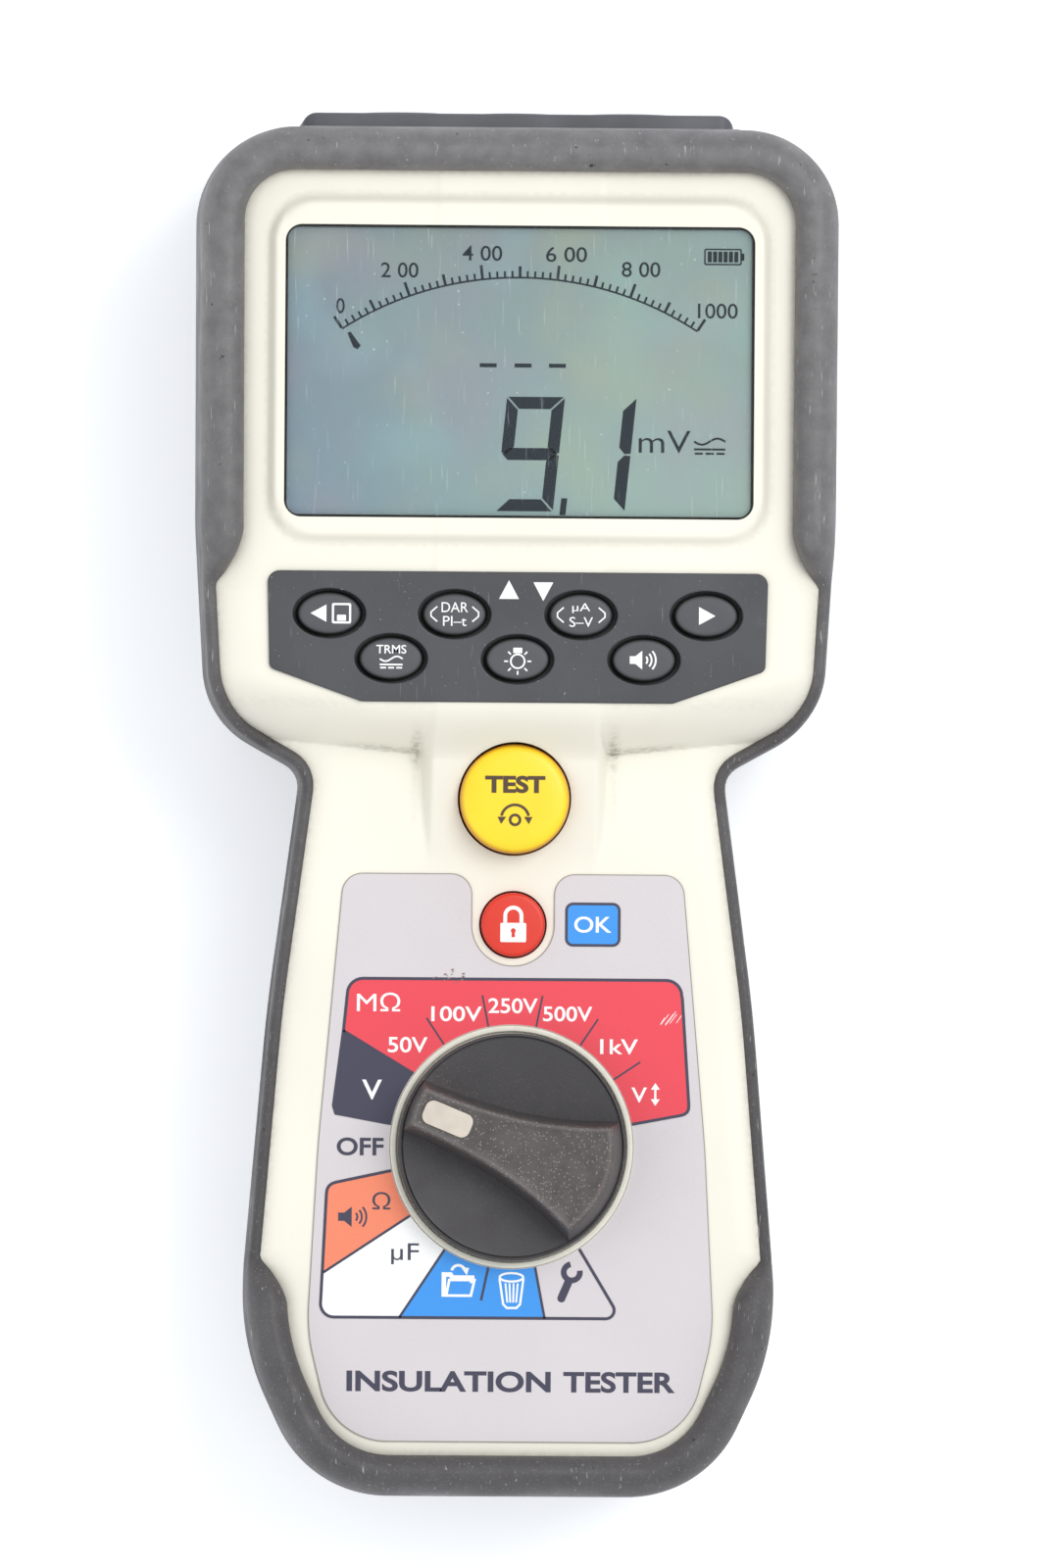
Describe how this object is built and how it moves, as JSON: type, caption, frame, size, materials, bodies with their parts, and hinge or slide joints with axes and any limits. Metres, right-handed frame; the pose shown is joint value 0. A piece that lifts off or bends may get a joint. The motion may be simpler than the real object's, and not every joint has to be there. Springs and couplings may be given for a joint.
{
  "type": "insulation resistance tester",
  "caption": "Hand-held insulation resistance tester: wide head with a display and oval keys over a narrower handle with a push button, a range knob and a rubber bumper.",
  "frame": {"origin": "centre of the footprint, on the surface that the tester lies on", "axes": "+X across the case to the user's right, +Y from the handle to the display end, +Z out of the front face"},
  "size_m": [0.1068, 0.231, 0.063],
  "materials": {
    "cream_shell": "moulded ABS, fine grain",
    "bumper_rubber": "overmoulded elastomer, satin with scuffs",
    "rear_plastic": "moulded ABS, spark texture",
    "black_seal": "matt",
    "steel_screws": "zinc plated",
    "clear_lens": "clear polycarbonate",
    "lcd": "reflective liquid crystal display",
    "white_plastic": "matt",
    "zebra_rubber": "layered conductive silicone",
    "circuit_board": "solder mask",
    "black_plastic": "satin",
    "key_panel": "fine texture",
    "key_rubber": "silicone, satin",
    "contact_metal": "gold flash",
    "label": "printed polyester overlay",
    "relay_blue": "moulded",
    "transformer_yellow": "taped winding",
    "capacitor_red": "dipped epoxy",
    "block_plastic": "moulded",
    "socket_red": "moulded polyamide",
    "fuse_ceramic": "ceramic body, nickel caps",
    "cell_sleeve": "printed sleeve",
    "spring_steel": "plain",
    "knob_plastic": "moulded, spark texture on the grip",
    "marker_white": "painted inlay",
    "test_yellow": "satin",
    "lock_red": "satin",
    "plate_foil": "satin foil"
  },
  "bodies": {
    "case": {"front_shell": "cream_shell", "bumper": "bumper_rubber", "rear_shell": "rear_plastic", "case_seal": "black_seal", "case_screws": "steel_screws", "display_lens": "clear_lens", "lens_gasket": "black_seal", "lcd_glass": "lcd", "lcd_holder": "white_plastic", "backlight": "white_plastic", "zebra_strips": "zebra_rubber", "display_board": "circuit_board", "board_header": "black_plastic", "key_panel": "key_panel", "keypad_mat": "key_rubber", "key_domes": "contact_metal", "front_label": "label", "main_board": "circuit_board", "board_chips": "black_plastic", "board_relays": "relay_blue", "hv_transformer": "transformer_yellow", "hv_capacitors": "capacitor_red", "buzzer": "black_plastic", "detent_ring": "white_plastic", "test_switch": "black_plastic", "lock_switch": "black_plastic", "terminal_block": "block_plastic", "socket_negative": "black_plastic", "socket_positive": "socket_red", "probe_socket": "black_plastic", "socket_contacts": "contact_metal", "fuse": "fuse_ceramic", "fuse_clips": "contact_metal", "battery_cells": "cell_sleeve", "battery_contacts": "contact_metal", "battery_springs": "spring_steel", "rear_feet": "black_seal", "board_screws": "steel_screws", "test_spring": "spring_steel"},
    "range_knob": {"range_knob": "knob_plastic", "knob_marker": "marker_white", "knob_clip": "spring_steel", "switch_rotor": "white_plastic", "wiper_contacts": "contact_metal"},
    "test_button": {"test_button": "test_yellow"},
    "lock_button": {"lock_button": "lock_red"},
    "stand": {"stand": "rear_plastic", "stand_pin": "steel_screws"},
    "battery_cover": {"battery_cover": "rear_plastic", "cover_seal": "black_seal", "cover_screw": "steel_screws", "rating_plate": "plate_foil"},
    "key_store": {"key_store": "key_rubber"},
    "key_ratio": {"key_ratio": "key_rubber"},
    "key_current": {"key_current": "key_rubber"},
    "key_next": {"key_next": "key_rubber"},
    "key_true_rms": {"key_true_rms": "key_rubber"},
    "key_backlight": {"key_backlight": "key_rubber"},
    "key_buzzer": {"key_buzzer": "key_rubber"}
  },
  "joints": [
    {"name": "range_turn", "type": "hinge", "parent": "case", "child": "range_knob", "pos_m": [0, -0.0571, 0.046], "axis": [0, 0, 1], "range_deg": [-135, 135]},
    {"name": "test_press", "type": "slide", "parent": "case", "child": "test_button", "axis": [0, 0, -1], "range_m": [0, 0.002], "stiffness_N_per_m": 700, "springref_m": -0.001, "deforming": ["test_spring"]},
    {"name": "lock_press", "type": "slide", "parent": "case", "child": "lock_button", "axis": [0, 0, -1], "range_m": [0, 0.0012], "stiffness_N_per_m": 700, "springref_m": -0.001},
    {"name": "key_store_press", "type": "slide", "parent": "case", "child": "key_store", "axis": [0, 0, -1], "range_m": [0, 0.0008], "stiffness_N_per_m": 800, "springref_m": -0.001},
    {"name": "key_ratio_press", "type": "slide", "parent": "case", "child": "key_ratio", "axis": [0, 0, -1], "range_m": [0, 0.0008], "stiffness_N_per_m": 800, "springref_m": -0.001},
    {"name": "key_current_press", "type": "slide", "parent": "case", "child": "key_current", "axis": [0, 0, -1], "range_m": [0, 0.0008], "stiffness_N_per_m": 800, "springref_m": -0.001},
    {"name": "key_next_press", "type": "slide", "parent": "case", "child": "key_next", "axis": [0, 0, -1], "range_m": [0, 0.0008], "stiffness_N_per_m": 800, "springref_m": -0.001},
    {"name": "key_true_rms_press", "type": "slide", "parent": "case", "child": "key_true_rms", "axis": [0, 0, -1], "range_m": [0, 0.0008], "stiffness_N_per_m": 800, "springref_m": -0.001},
    {"name": "key_backlight_press", "type": "slide", "parent": "case", "child": "key_backlight", "axis": [0, 0, -1], "range_m": [0, 0.0008], "stiffness_N_per_m": 800, "springref_m": -0.001},
    {"name": "key_buzzer_press", "type": "slide", "parent": "case", "child": "key_buzzer", "axis": [0, 0, -1], "range_m": [0, 0.0008], "stiffness_N_per_m": 800, "springref_m": -0.001},
    {"name": "stand_turn", "type": "hinge", "parent": "case", "child": "stand", "pos_m": [0, 0.088, 0.0042], "axis": [1, 0, 0], "range_deg": [0, 60]},
    {"name": "cover_lift", "type": "slide", "parent": "case", "child": "battery_cover", "axis": [0, 0, -1], "range_m": [0, 0.03]}
  ]
}
